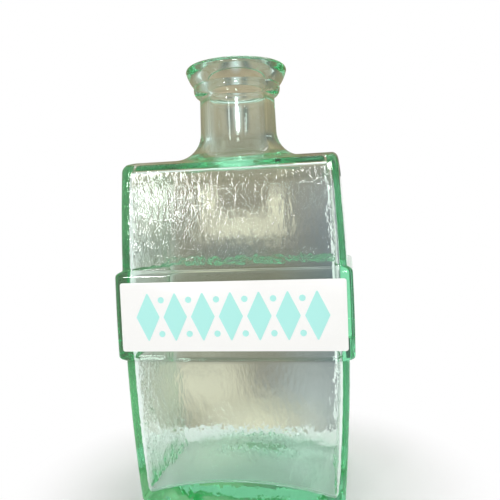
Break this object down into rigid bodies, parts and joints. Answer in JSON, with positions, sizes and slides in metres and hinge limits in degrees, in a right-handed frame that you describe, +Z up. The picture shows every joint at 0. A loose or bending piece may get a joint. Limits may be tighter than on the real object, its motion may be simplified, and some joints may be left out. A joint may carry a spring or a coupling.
{
  "type": "glass bottle with enamel label",
  "caption": "Flat rectangular bottle of pale green moulded glass with bowed flanks, a raised belt carrying an enamel label, a flared neck and a funnel lip.",
  "frame": {"origin": "middle of the base, on the surface that the bottle stands on", "axes": "+Z up along the neck's axis; the label faces -Y; +X to the right seen from the front"},
  "size_m": [0.1152, 0.0816, 0.2199],
  "materials": {
    "green_glass": "clear pale green glass, rippled on the panels and smooth on the belt and neck",
    "white_enamel": "fired opaque enamel, glossy",
    "turquoise_enamel": "fired opaque enamel, glossy"
  },
  "bodies": {
    "root": {"glass_bottle": "green_glass", "label_ground": "white_enamel", "label_lozenges": "turquoise_enamel", "label_dots": "turquoise_enamel"}
  },
  "joints": []
}
